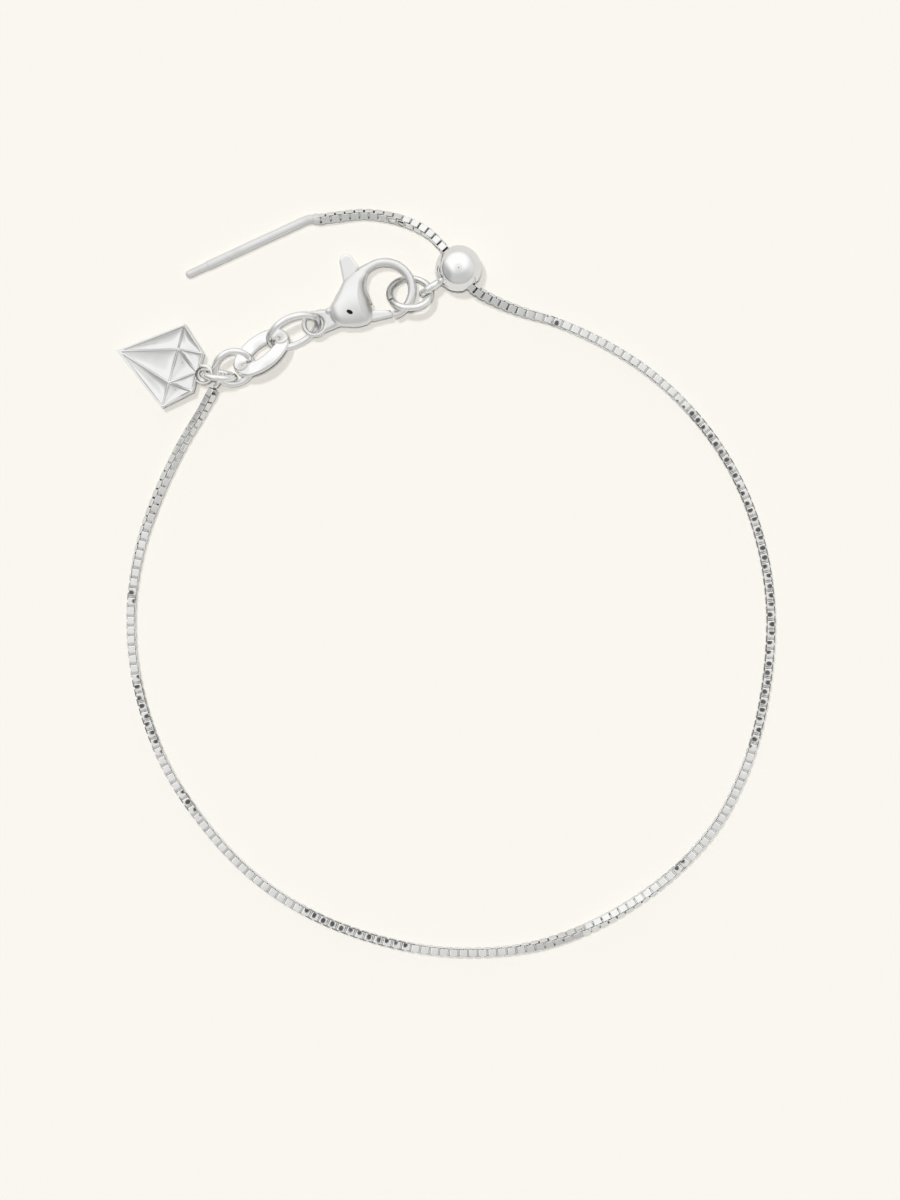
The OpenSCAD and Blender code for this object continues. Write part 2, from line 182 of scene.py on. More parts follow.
def tentTone(tree, look):
    where = addNode(tree, "ShaderNodeTexCoord").outputs["Generated"]

    def spot(direction, full, gone, inside, outside=1.0):
        toward = addNode(tree, "ShaderNodeVectorMath", operation="DOT_PRODUCT")
        feed(tree, toward.inputs[0], where)
        toward.inputs[1].default_value = Vector(direction).normalized()
        return eased(tree, toward.outputs["Value"], cosOf(gone), cosOf(full), outside, inside)

    up = (0, 0, 1)
    full, gone, loss = look["westCard"]
    topFull, topGone = look["westCardTop"]
    card = maths(tree, "MULTIPLY", spot(look["westFlag"], full, gone, loss, 0.0),
                 spot(up, 90 - topGone, 90 - topFull, 0.0))
    footFull, footGone, footTone = look["skyline"]
    tone = spot(look["softBoxFrom"], *look["softBoxEdge"], look["softBox"], look["tent"])
    for part in (maths(tree, "SUBTRACT", 1.0, card),
                 spot(look["dimSide"], *look["dimEdge"], look["dim"] / look["tent"]),
                 spot(look["westFlag"], *look["westEdge"], look["westDim"]),
                 spot(up, 90 - footGone, 90 - footFull, 1.0, footTone),
                 spot(up, *look["hood"]), spot(up, *look["lens"])):
        tone = maths(tree, "MULTIPLY", tone, part)
    return tone


def lightStudio(look):
    world = bpy.data.worlds.new("tent")
    bpy.context.scene.world = world
    world.use_nodes = True
    tree = world.node_tree
    tree.nodes.clear()
    rays = addNode(tree, "ShaderNodeLightPath").outputs
    share = eased(tree, rays["Diffuse Depth"], 0.0, 1.0, 1.0, look["paperShare"])
    tone = maths(tree, "MULTIPLY", tentTone(tree, look), share)
    grey = addNode(tree, "ShaderNodeCombineColor")
    for channel in grey.inputs:
        feed(tree, channel, tone)
    seen = blendColours(tree, rays["Is Camera Ray"], grey.outputs[0], (*look["backdrop"], 1))
    background = addNode(tree, "ShaderNodeBackground")
    feed(tree, background.inputs["Color"], seen)
    output = addNode(tree, "ShaderNodeOutputWorld")
    tree.links.new(background.outputs[0], output.inputs["Surface"])
    hangLamp("topLight", (0, 0, 1), look["topStrength"], look["topAngle"])
    plan = Vector((*look["keyFrom"], 0)).normalized() * cosOf(look["keyHeight"])
    hangLamp("keyLight", plan + Vector((0, 0, sinOf(look["keyHeight"]))), look["keyStrength"],
             look["keyAngle"])


def layPaper(look):
    half = look["paperSize"] / 2 * mm
    corners = [(-half, -half, 0), (half, -half, 0), (half, half, 0), (-half, half, 0)]
    floor = inScene("paperFloor", rawMesh("paperFloor", corners, [(0, 1, 2, 3)]))
    paper = bpy.data.materials.new("paper")
    paper.use_nodes = True
    tree = paper.node_tree
    shader = tree.nodes["Principled BSDF"]
    # painted shade: reflected in the metal, the paper takes a darker colour than the camera sees
    mirrored = addNode(tree, "ShaderNodeLightPath").outputs["Is Glossy Ray"]
    feed(tree, shader.inputs["Base Color"],
         blendColours(tree, mirrored, (*look["paper"], 1), (*look["paperShadeInMetal"], 1)))
    shader.inputs["Roughness"].default_value = 0.9
    shader.inputs["Specular IOR Level"].default_value = 0.0
    floor.data.materials.append(paper)


lightStudio(studio)
layPaper(studio)
print("studio lit")


# Finishes: scales are per metre, and bump is the height of the polishing marks
cloudRange = (0.35, 0.7)  # from clear to cloudy, in terms of the noise
markStretches = ((0.06, 1.0, 1.0), (1.0, 0.06, 0.8))
markTilt = (0.3, 0.2, 0.5)


def silverFinishGroup():
    # polished plate: faint cloudy tone, uneven gloss and hairline polishing marks, with painted shade
    # mixed into the colour by a mask
    tree = bpy.data.node_groups.new("silverFinish", "ShaderNodeTree")
    sockets = tree.interface
    for name, kind, value in (
        ("Bright", "NodeSocketColor", (0.9, 0.9, 0.89, 1)),
        ("Cloud", "NodeSocketColor", (0.8, 0.8, 0.79, 1)),
        ("Cloud Scale", "NodeSocketFloat", 500.0),
        ("Cloud Amount", "NodeSocketFloat", 0.5),
        ("Gloss", "NodeSocketFloat", 0.08),
        ("Haze", "NodeSocketFloat", 0.1),
        ("Mark Scale", "NodeSocketFloat", 3000.0),
        ("Mark Amount", "NodeSocketFloat", 0.5),
        ("Painted Shade", "NodeSocketColor", (0.2, 0.2, 0.19, 1)),
        ("Painted Shade Amount", "NodeSocketFloat", 0.0),
    ):
        socket = sockets.new_socket(name, in_out="INPUT", socket_type=kind)
        socket.default_value = value
    for name, kind in (("Color", "NodeSocketColor"), ("Roughness", "NodeSocketFloat"),
                       ("Height", "NodeSocketFloat")):
        sockets.new_socket(name, in_out="OUTPUT", socket_type=kind)
    given = addNode(tree, "NodeGroupInput").outputs
    result = addNode(tree, "NodeGroupOutput")
    where = addNode(tree, "ShaderNodeTexCoord").outputs["Object"]
    cloud = eased(tree, noiseOf(tree, where, given["Cloud Scale"]), *cloudRange)
    share = maths(tree, "MULTIPLY", cloud, given["Cloud Amount"])
    colour = blendColours(tree, share, given["Bright"], given["Cloud"])
    # painted shade: the colour is drawn toward the shade colour by the mask that the pieces carry
    colour = blendColours(tree, given["Painted Shade Amount"], colour, given["Painted Shade"])
    # hairlines: noise drawn out along two directions
    marks = []
    for stretch in markStretches:
        drawn = addNode(tree, "ShaderNodeMapping", vector_type="POINT")
        feed(tree, drawn.inputs["Vector"], where)
        drawn.inputs["Scale"].default_value = stretch
        drawn.inputs["Rotation"].default_value = markTilt
        marks.append(noiseOf(tree, drawn.outputs["Vector"], given["Mark Scale"], 2.0))
    mark = maths(tree, "MULTIPLY", maths(tree, "MULTIPLY", *marks), given["Mark Amount"])
    haze = maths(tree, "MULTIPLY", maths(tree, "ADD", cloud, mark), given["Haze"])
    feed(tree, result.inputs["Color"], colour)
    feed(tree, result.inputs["Roughness"], maths(tree, "ADD", given["Gloss"], haze))
    feed(tree, result.inputs["Height"], mark)
    return tree


silverFinish = silverFinishGroup()

finishes = {
    "chainSilver": {
        "Bright": (0.9, 0.9, 0.89), "Cloud": (0.79, 0.79, 0.78), "Cloud Scale": 900,
        "Cloud Amount": 0.5, "Gloss": 0.035, "Haze": 0.04, "Mark Scale": 9000, "Mark Amount": 0.5,
        "bump": 0.002,
    },
    "polishedSilver": {
        "Bright": (0.95, 0.95, 0.945), "Cloud": (0.86, 0.86, 0.85), "Cloud Scale": 350,
        "Cloud Amount": 0.5, "Gloss": 0.05, "Haze": 0.07, "Mark Scale": 5000, "Mark Amount": 0.4,
        "bump": 0.0015,
    },
    "claspSilver": {
        "Bright": (0.88, 0.878, 0.87), "Cloud": (0.83, 0.828, 0.82), "Cloud Scale": 300,
        "Cloud Amount": 0.6, "Gloss": 0.27, "Haze": 0.1, "Mark Scale": 4000, "Mark Amount": 0.5,
        "bump": 0.002,
    },
    # painted light: the clasp's silver made lighter for the lever's flat gate and tab
    "litLeverSilver": {
        "Bright": (0.95, 0.948, 0.94), "Cloud": (0.91, 0.908, 0.9), "Cloud Scale": 300,
        "Cloud Amount": 0.6, "Gloss": 0.27, "Haze": 0.1, "Mark Scale": 4000, "Mark Amount": 0.5,
        "bump": 0.002,
    },
    "needleSilver": {
        "Bright": (0.87, 0.868, 0.86), "Cloud": (0.83, 0.828, 0.82), "Cloud Scale": 600,
        "Cloud Amount": 0.6, "Gloss": 0.5, "Haze": 0.12, "Mark Scale": 5000, "Mark Amount": 0.5,
        "bump": 0.002,
    },
    "charmSilver": {
        "Bright": (0.95, 0.95, 0.945), "Cloud": (0.83, 0.83, 0.82), "Cloud Scale": 450,
        "Cloud Amount": 0.5, "Gloss": 0.06, "Haze": 0.1, "Mark Scale": 4500, "Mark Amount": 0.5,
        "bump": 0.002,
    },
    # painted shade: the recessed pin is coloured nearly black for the dark spot in its recess
    "shadedPin": {
        "Bright": (0.05, 0.05, 0.05), "Cloud": (0.015, 0.015, 0.015), "Cloud Scale": 2000,
        "Cloud Amount": 0.8, "Gloss": 0.3, "Haze": 0.2, "Mark Scale": 9000, "Mark Amount": 0.6,
        "bump": 0.003,
    },
}


def makeFinish(name, look):
    material = bpy.data.materials.new(name)
    material.use_nodes = True
    tree = material.node_tree
    shader = tree.nodes["Principled BSDF"]
    shader.inputs["Metallic"].default_value = 1.0
    group = addNode(tree, "ShaderNodeGroup", node_tree=silverFinish)
    for key, value in look.items():
        if key in group.inputs:
            group.inputs[key].default_value = (*value, 1) if isinstance(value, tuple) else value
    # painted shade: each face's share of the shade colour, set on the pieces' faces
    mask = addNode(tree, "ShaderNodeAttribute", attribute_name="paintedShade")
    feed(tree, group.inputs["Painted Shade Amount"], mask.outputs["Fac"])
    feed(tree, shader.inputs["Base Color"], group.outputs["Color"])
    feed(tree, shader.inputs["Roughness"], group.outputs["Roughness"])
    bump = addNode(tree, "ShaderNodeBump")
    bump.inputs["Distance"].default_value = look["bump"] * mm
    feed(tree, bump.inputs["Height"], group.outputs["Height"])
    feed(tree, shader.inputs["Normal"], bump.outputs["Normal"])
    return material


metals = {name: makeFinish(name, look) for name, look in finishes.items()}
print("finishes made:", ", ".join(metals))


# Mesh helpers: a part is (points, faces), and its points are Vectors
def onCircle(degrees, radius=1.0):
    return Vector((radius * cosOf(degrees), radius * sinOf(degrees), 0))


def roundSection(radius, sides):
    return [onCircle(360 * k / sides, radius).xy for k in range(sides)]


def walls(rings, closed=False):
    # four-sided faces from each ring of points to the next
    n, m = len(rings[0]), len(rings)
    points = [p for ring in rings for p in ring]
    faces = []
    for i in range(m if closed else m - 1):
        a, b = i * n, (i + 1) % m * n
        faces += [(a + k, a + (k + 1) % n, b + (k + 1) % n, b + k) for k in range(n)]
    return points, faces


def endFace(rings):
    n, m = len(rings[0]), len(rings)
    return tuple(range((m - 1) * n, m * n))


def skin(rings, closed=False):
    # a ring of walls that is closed on itself, or else has a face at each end
    points, faces = walls(rings, closed)
    if not closed:
        faces += [tuple(range(len(rings[0]) - 1, -1, -1)), endFace(rings)]
    return points, faces


def joined(*parts):
    points, faces = [], []
    for morePoints, moreFaces in parts:
        first = len(points)
        points += morePoints
        faces += [tuple(first + i for i in face) for face in moreFaces]
    return points, faces


def moved(part, matrix):
    return [matrix @ p for p in part[0]], part[1]


def lathe(profile, sides):
    # rings of points from (radius, height) pairs
    return [[onCircle(360 * k / sides, radius) + Vector((0, 0, height)) for k in range(sides)]
            for radius, height in profile]


def bandSection(halfWide, halfThick, sides):
    # a band with round edges
    r = min(halfWide, halfThick)
    flat = (halfWide - r, halfThick - r)
    section = []
    for k in range(sides):
        d = onCircle(360 * (k + 0.5) / sides)
        section.append((r * d.x + math.copysign(flat[0], d.x), r * d.y + math.copysign(flat[1], d.y)))
    return section


def bandRing(across, hole, thick, sides, steps):
    section = bandSection((across - hole) / 4, thick / 2, sides)
    return skin([[onCircle(360 * k / steps) * ((across + hole) / 4 + s[0]) + Vector((0, 0, s[1]))
                  for s in section] for k in range(steps)], closed=True)


def meshOf(name, part):
    # points that meet become one, and all faces turn outward
    mesh = rawMesh(name, *part)
    work = bmesh.new()
    work.from_mesh(mesh)
    bmesh.ops.remove_doubles(work, verts=work.verts, dist=1e-5)
    bmesh.ops.recalc_face_normals(work, faces=work.faces)
    work.to_mesh(mesh)
    work.free()
    return mesh


def bodyOf(name, part):
    return inScene(name, meshOf(name, part))


def partOf(obj):
    return [v.co.copy() for v in obj.data.vertices], [tuple(f.vertices) for f in obj.data.polygons]


def settle(obj):
    # swaps the mesh for the one that the modifiers make
    bpy.context.view_layer.update()
    view = bpy.context.evaluated_depsgraph_get()
    mesh = bpy.data.meshes.new_from_object(obj.evaluated_get(view))
    obj.modifiers.clear()
    obj.data = mesh


def cutAway(obj, *parts):
    for part in parts:
        cutter = bodyOf("cutter", part)
        cut = obj.modifiers.new("cut", "BOOLEAN")
        cut.operation, cut.solver, cut.object = "DIFFERENCE", "EXACT", cutter
        settle(obj)
        bpy.data.objects.remove(cutter)


def paintedShadeFaces(obj, amountOf):
    # paints shade on the faces: amountOf gives how far each face's colour darkens
    # amountOf takes a face of the piece before it is placed
    amounts = obj.data.attributes.new("paintedShade", "FLOAT", "FACE")
    for face in obj.data.polygons:
        amounts.data[face.index].value = amountOf(face)


def castTogether(obj, grain, rounds):
    # runs overlapping parts into one skin with soft edges, as a cast and tumbled piece has
    blend = obj.modifiers.new("cast", "REMESH")
    blend.mode, blend.voxel_size = "VOXEL", grain
    soften = obj.modifiers.new("tumble", "SMOOTH")
    soften.factor, soften.iterations = 0.5, rounds
    settle(obj)


def finishPiece(obj, place, metal, node, body="bracelet", sharpAt=40, flatOver=math.inf):
    # faces larger than flatOver, in square millimetres, keep their own flat shading
    obj.data.transform(Matrix.Scale(mm, 4) @ place)
    obj.data.shade_smooth()
    obj.data.set_sharp_from_angle(angle=math.radians(sharpAt))
    obj.data.materials.clear()
    obj.data.materials.append(metals[metal])
    for face in obj.data.polygons:
        face.use_smooth = face.area < flatOver * mm * mm
    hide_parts(node)
    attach(obj, body)
    print("made", obj.name, "with", len(obj.data.polygons), "faces")


def middleOf(node):
    low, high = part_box(node)
    return (low + high) / 2 / mm


def turned(degrees, axis):
    return Matrix.Rotation(math.radians(degrees), 4, axis)


def finishLying(obj, node, turn, roll, pitch=0.0):
    # a ring or link as it lies: turn in plan, rise of its left side, rise along its length
    tilt = turned(-pitch, "Y") @ turned(roll, "X")
    finishPiece(obj, Matrix.Translation(middleOf(node)) @ turned(turn, "Z") @ tilt, "polishedSilver",
                node)


def splined(rows, steps):
    # a smooth run through points or through the rows of a table
    last = len(rows) - 1
    line = []
    for i in range(last):
        near = rows[max(i - 1, 0)], rows[i], rows[i + 1], rows[min(i + 2, last)]
        for t in [k / steps for k in range(steps)]:
            line.append([0.5 * (2 * b + (c - a) * t + (2 * a - 5 * b + 4 * c - d) * t * t
                                + (3 * b - a - 3 * c + d) * t * t * t) for a, b, c, d in zip(*near)])
    return line + [rows[-1]]


def readTable(table, at):
    # straight between the (place, value) pairs, and the last value beyond them
    for (a, first), (b, second) in zip(table, table[1:]):
        if at <= b:
            return first + (second - first) * (at - a) / (b - a)
    return table[-1][1]


def clamped(share):
    return min(max(share, 0), 1)


# Jump rings: a seam is its width and place, in degrees round the ring, and how far it stands askew;
# a stretch of painted shade is its middle and half its width, in degrees, and its depth
ringMaking = {
    "sides": 28, "steps": 144,
    "nips": (0.86, 0.96, 1.0), "nipLong": 0.05,  # how the two cut ends are rounded off
    "shadePatchFade": 12,
}
jumpRings = {
    "hookRing": {
        "node": "hook_ring", "across": 4.8, "wire": 0.66, "lie": (1.8, -41.9),
        # painted shade: a stretch of the hook ring is coloured darker
        "seam": (3.0, 208, 0.05), "shadePatch": (172, 62, 0.5),
    },
    "hubRing": {"node": "hub_ring", "across": 4.4, "wire": 0.64, "lie": (15.9, 34.1)},
    "charmRing": {
        "node": "charm_ring", "across": 3.8, "wire": 0.64, "lie": (-6.2, -77.3), "seam": (3.0, 0, 0.04),
    },
    "chainEndLoop": {"node": "chain_end_loop", "across": 1.9, "wire": 0.42, "lie": (54.8, 94.1)},
}


def wireRing(across, wire, seam=0.0, seamAt=0.0, askew=0.0):
    # without a seam the ring is closed
    reach = (across - wire) / 2
    section = roundSection(wire / 2, ringMaking["sides"])
    steps, nips = ringMaking["steps"], ringMaking["nips"]
    closed = seam == 0
    last = steps - 1 if closed else steps
    rings = []
    for i in range(last + 1):
        share = i / steps
        angle = seamAt + seam / 2 + (360 - seam) * share
        size = 1.0
        fromEnd = min(i, last - i)
        if not closed and fromEnd < len(nips):
            size = nips[fromEnd]
            nipTurn = math.degrees(ringMaking["nipLong"] / reach) * fromEnd / (len(nips) - 1)
            angle = seamAt + (seam / 2 + nipTurn) * (1 if 2 * i < last else -1)
        lift = askew * (share - 0.5)
        rings.append([onCircle(angle) * (reach + s[0] * size) + Vector((0, 0, s[1] * size + lift))
                      for s in section])
    return skin(rings, closed)


def shadePatchArc(middle, half, depth):
    # painted shade, full over the middle of the stretch and fading toward its ends
    def amount(face):
        away = abs((math.degrees(math.atan2(face.center.y, face.center.x)) - middle + 180) % 360 - 180)
        return depth * clamped((half - away) / ringMaking["shadePatchFade"])
    return amount


for name, ring in jumpRings.items():
    ringPiece = bodyOf(name, wireRing(ring["across"], ring["wire"], *ring.get("seam", ())))
    if "shadePatch" in ring:
        paintedShadeFaces(ringPiece, shadePatchArc(*ring["shadePatch"]))
    finishLying(ringPiece, ring["node"], *ring["lie"])


# Oval links
ovalMaking = {"sides": 28, "steps": 40, "endShare": 0.74}  # the ends' radius, by half the width
ovalLinks = {
    "ovalLink": {
        "node": "oval_link", "long": 5.9, "wide": 4.65, "band": 0.7, "thick": 0.7,
        "lie": (24.1, 50.7, -2.8), "level": 0,
        "shadePatch": 0.85, "shadePatchLong": 0.77, "shadePatchFade": 0.25, "shadePatchOutside": 0.3,  # painted shade at its ends, where it passes through the next pieces
    },
    "wideLink": {
        "node": "wide_link", "long": 6.4, "wide": 4.5, "band": 1.4, "thick": 0.62,
        "lie": (38.8, -43.6, -4.4), "level": 34,  # the band is twisted so that its face lies flatter
    },
}


def ovalStations(a, b):
    # four arcs that meet smoothly: centre and outward direction at each step
    end = ovalMaking["endShare"] * b
    side = ((a - end) ** 2 + b * b - end * end) / (2 * (b - end))
    half = math.degrees(math.atan2(side - b, a - end))
    arcs = (((a - end, 0), end, -half, 2 * half), ((0, b - side), side, half, 180 - 2 * half),
            ((end - a, 0), end, 180 - half, 2 * half), ((0, side - b), side, 180 + half, 180 - 2 * half))
    stations = []
    for middle, radius, start, turn in arcs:
        for k in range(ovalMaking["steps"]):
            out = onCircle(start + turn * k / ovalMaking["steps"])
            stations.append((Vector((*middle, 0)) + out * radius, out))
    return stations


def shadePatchEnds(link):
    # painted shade where the next pieces pass through: full on the inside of both ends, and less outside
    def amount(face):
        deep = (abs(face.center.x) - link["long"] / 2 + link["shadePatchLong"]) / link["shadePatchFade"]
        inner = face.normal.x * face.center.x < 0
        return link["shadePatch"] * clamped(deep) * (1 if inner else link["shadePatchOutside"])
    return amount


for name, link in ovalLinks.items():
    section = bandSection(link["band"] / 2, link["thick"] / 2, ovalMaking["sides"])
    stations = ovalStations((link["long"] - link["band"]) / 2, (link["wide"] - link["band"]) / 2)
    twist = turned(link["level"], "X")
    rings = [[c + twist @ (out * s[0] + Vector((0, 0, s[1]))) for s in section] for c, out in stations]
    linkPiece = bodyOf(name, skin(rings, closed=True))
    if "shadePatch" in link:
        paintedShadeFaces(linkPiece, shadePatchEnds(link))
    finishLying(linkPiece, link["node"], *link["lie"])


# Slider ball: its frame has the chain's hole along Y and its loop along +X
ball = {
    "across": 4.6, "hole": 1.46, "lip": 0.12, "at": (1.15, 31.37), "holeTurn": -55.5,
    "loopAcross": 2.88, "loopWire": 0.68, "loopSink": 0.39, "loopDrop": 12,
    "solderSink": 0.12, "solderLong": 0.352, "solderSpread": 0.55,  # spread as a share of the wire
    "sides": 96, "steps": 48, "solderSides": 32, "solderSteps": 5,
}


def makeBall(b):
    r, hole, lip = b["across"] / 2, b["hole"] / 2, b["lip"]
    mouth = math.degrees(math.asin((hole + lip) / r))
    around = [mouth + (180 - 2 * mouth) * k / b["steps"] for k in range(b["steps"] + 1)]
    outside = [(r * sinOf(a), r * cosOf(a)) for a in around]
    top = outside[0][1]
    rounding = [(hole + lip * (1 - sinOf(a)), top - lip * (1 - cosOf(a))) for a in (30, 60, 90)]
    inside = [(x, -y) for x, y in rounding] + rounding[::-1]
    shell = moved(skin(lathe(outside + inside, b["sides"]), closed=True), turned(90, "X"))
    reach = r + b["loopAcross"] / 2 - b["loopSink"]
    loop = moved(wireRing(b["loopAcross"], b["loopWire"]),
                 Matrix.Translation((reach, 0, 0)) @ turned(90, "X"))
    # solder that runs up from the ball round the loop's foot
    foot = []
    for k in range(b["solderSteps"] + 1):
        up = k / b["solderSteps"]
        spread = 0.5 + b["solderSpread"] * (1 - up) ** 2
        foot.append((b["loopWire"] * spread, r - b["solderSink"] + b["solderLong"] * up))
    solder = moved(skin(lathe(foot, b["solderSides"])), turned(90, "Y"))
    return joined(shell, loop, solder)


ballPlace = (Matrix.Translation((*ball["at"], ball["across"] / 2)) @ turned(ball["holeTurn"] + 270, "Z")
             @ turned(ball["loopDrop"], "Y"))
finishPiece(bodyOf("sliderBall", makeBall(ball)), ballPlace, "polishedSilver",
            "slider_ball", sharpAt=50)


# Clasp: its frame lies at the body's middle, +X from the tail ring to the hook
clasp = {
    "hookRadius": 2.73, "hookWire": 0.84, "thick": 3.0,
    "at": (-9.93, 27.47, 1.5), "turn": 26.2,
    "hookMiddle": 1.524, "hookFrom": 88, "hookTo": -95.5, "hookSteps": 14,
    "tailReach": 3.65, "tailAcross": 2.64, "tailHole": 1.76, "tailThick": 0.74,
    "tailSides": 24, "tailSteps": 96, "neckSteps": 4,
    "knobAt": (-1.82, 0.55, 0.42), "knobAcross": 0.64,  # the cast bump beside the neck
    "knobAngles": (5, 25, 45, 65, 90, 115, 135, 155, 175), "knobSides": 20,
    "pivot": (0, -0.2), "pinHole": 0.66, "pin": 0.6, "pinRecess": 0.25, "pinChamfer": (0.8, 0.06),
    "pinSides": 40, "mouth": (0.68, 0.4), "mouthTurn": -52, "mouthDeep": 0.05,
    "leverThick": 0.8, "slideGap": 0.08, "openTurn": 14, "leverChamfer": (0.2, 0.1),
    "sectionSides": 24, "stepsPerSection": 5, "creaseFall": 0.34,
    # the plane inside the crease gets painted shade: west, east, south and north end, as shares of the
    # hook's radius, least tilt, and over how much it fades at each of these
    "creaseShade": 0.27, "creaseEnds": (0.3, 1.1, -0.75, 0.85), "creaseTilt": 0.2,
    "creaseFades": (0.1, 0.15, 0.2, 0.2, 0.12),
    "grain": 0.045, "tumble": 6, "leverGrain": 0.036, "leverTumble": 3,
}
# Sections as shares of the hook's radius: outer edge x, y, inner edge x, y; half thickness as a
# share of the thickness, fullness, where the crest runs from outer (-1) to inner (1), crease
claspSections = [
    (0.13, -0.82, 0.36, -0.86, 0.08, 0.7, 0.0, 0.0),
    (-0.04, -0.76, 0.54, -0.83, 0.24, 0.66, 0.1, 0.1),
    (-0.24, -0.65, 0.68, -0.73, 0.36, 0.64, 0.25, 0.35),
    (-0.5, -0.5, 0.78, -0.56, 0.44, 0.6, 0.32, 0.6),
    (-0.67, -0.25, 0.85, -0.36, 0.49, 0.58, 0.38, 0.9),
    (-0.69, 0.03, 0.88, -0.15, 0.5, 0.58, 0.42, 1.1),
    (-0.59, 0.29, 0.9, 0.07, 0.48, 0.6, 0.44, 1.2),
    (-0.35, 0.47, 0.91, 0.25, 0.44, 0.62, 0.44, 1.2),
    (-0.06, 0.69, 0.95, 0.42, 0.385, 0.68, 0.44, 1.1),
    (0.27, 0.95, 1.03, 0.58, 0.32, 0.76, 0.4, 0.9),
    (0.6, 1.07, 1.15, 0.71, 0.25, 0.86, 0.3, 0.4),
    (0.93, 1.14, 1.28, 0.81, 0.19, 0.95, 0.1, 0.1),
]
# Neck from the tail ring into the body, as shares of the hook's radius: along, lower edge, upper
# edge; and half its thickness as a share of the tail ring's
neckRows = [(-1.3, -0.36, 0.36, 0.5), (-1.12, -0.44, 0.42, 0.52), (-0.95, -0.46, 0.4, 0.55),
            (-0.8, -0.47, 0.34, 0.62), (-0.66, -0.48, 0.3, 0.75), (-0.5, -0.5, 0.3, 0.95)]


def claspRing(row, look):
    outer, inner = (Vector((*edge, 0)) * look["hookRadius"] for edge in (row[:2], row[2:4]))
    deep, fill, crest, crease = row[4:]
    middle, half, high = (outer + inner) / 2, (inner - outer) / 2, deep * look["thick"]
    n, fall = look["sectionSides"] // 2, look["creaseFall"]
    top = []
    for k in range(n + 1):  # outer edge up to the crest
        s = cosOf(90 * k / n) ** fill
        top.append((crest - s * (1 + crest), max(1 - s ** (2 / fill), 0) ** (fill / 2)))
    for k in range(1, n + 1):  # crest down to the inner edge
        w = sinOf(90 * k / n) ** fill
        plain = max(1 - w ** (2 / fill), 0) ** (fill / 2)
        creased = 1 - fall * w - (1 - fall) * w ** 4
        top.append((crest + w * (1 - crest), plain + clamped(crease) * (creased - plain)))
    profile = top + [(u, -z) for u, z in top[-2:0:-1]]
    return [middle + half * u + Vector((0, 0, high * z)) for u, z in profile]


def neckSkin(look):
    r = look["hookRadius"]
    rings = []
    for along, low, high, half in splined(neckRows, look["neckSteps"]):
        section = bandSection((high - low) * r / 2, half * look["tailThick"], look["tailSides"])
        rings.append([Vector((along * r, (low + high) * r / 2 + u, v)) for u, v in section])
    return skin(rings)


def hookRow(angle, look):
    reach = look["hookWire"] / 2 / look["hookRadius"]
    middle, out = Vector((look["hookMiddle"], 0, 0)), onCircle(angle)
    outer, inner = middle + out * (1 + reach), middle + out * (1 - reach)
    return outer.x, outer.y, inner.x, inner.y, look["hookWire"] / 2 / look["thick"], 1.0, 0.0, 0.0


def claspSkin(look):
    steps, sweep = look["hookSteps"], look["hookTo"] - look["hookFrom"]
    hook = [hookRow(look["hookFrom"] + sweep * k / steps, look) for k in range(steps + 1)]
    rows = splined(claspSections + hook, look["stepsPerSection"])
    return skin([claspRing(row, look) for row in rows])


def barOutline(a, aRadius, b, bRadius, steps=24):
    # round one point, round the other, and straight between
    d = b - a
    way = math.degrees(math.atan2(d.y, d.x))
    side = math.degrees(math.acos((aRadius - bRadius) / d.length))
    return ([a + onCircle(way + side + (360 - 2 * side) * k / steps, aRadius) for k in range(steps + 1)]
            + [b + onCircle(way - side + 2 * side * k / steps, bRadius) for k in range(steps + 1)])


# Lever points as shares of the hook's radius from the pin, each with its round's radius in mm
leverPoints = {
    "eye": ((0, 0), 0.901), "gateRoot": ((0.665, -0.457), 0.532), "gateTip": ((1.274, -0.672), 0.36),
    "tabWaist": ((0.45, 1.04), 0.491), "tabHeel": ((0.87, 1.41), 0.41), "tabEnd": ((0.72, 1.745), 0.7),
}
leverBars = (("eye", "gateRoot"), ("gateRoot", "gateTip"), ("eye", "tabWaist"), ("tabWaist", "tabEnd"),
             ("tabHeel", "tabEnd"), ("tabHeel", "tabWaist"))


def leverPrisms(look, halfThick, grow=0.0, chamfer=(0.0, 0.0)):
    # one prism to a bar; a chamfer is how far in and how far down
    prisms = []
    inset, drop = chamfer
    layers = ((-halfThick, inset), (drop - halfThick, 0), (halfThick - drop, 0), (halfThick, inset))
    for pair in leverBars:
        (a, aRadius), (b, bRadius) = (leverPoints[name] for name in pair)
        rings = []
        for z, by in layers if inset else (layers[0], layers[-1]):
            outline = barOutline(Vector((*a, 0)) * look["hookRadius"], aRadius + grow - by,
                                 Vector((*b, 0)) * look["hookRadius"], bRadius + grow - by)
            rings.append([p + Vector((0, 0, z)) for p in outline])
        prisms.append(skin(rings))
    return prisms


claspPlace = Matrix.Translation(clasp["at"]) @ turned(clasp["turn"], "Z")
pinPlace = Matrix.Translation(Vector((*clasp["pivot"], 0)) * clasp["hookRadius"])


def drill(size, low, high, turn=0, sides=48):
    outline = [(p.x * size[0] / 2, p.y * size[1] / 2) for p in roundSection(1.0, sides)]
    return moved(skin([[Vector((x, y, z)) for x, y in outline] for z in (low, high)]), turned(turn, "Z"))


def cutLeverRoom(body, look):
    # the lever's slot, with the lever closed and open
    room = look["leverThick"] / 2 + look["slideGap"]
    cutAway(body, *[moved(part, pinPlace @ turned(turn, "Z")) for turn in (0, look["openTurn"])
                    for part in leverPrisms(look, room, look["slideGap"])])


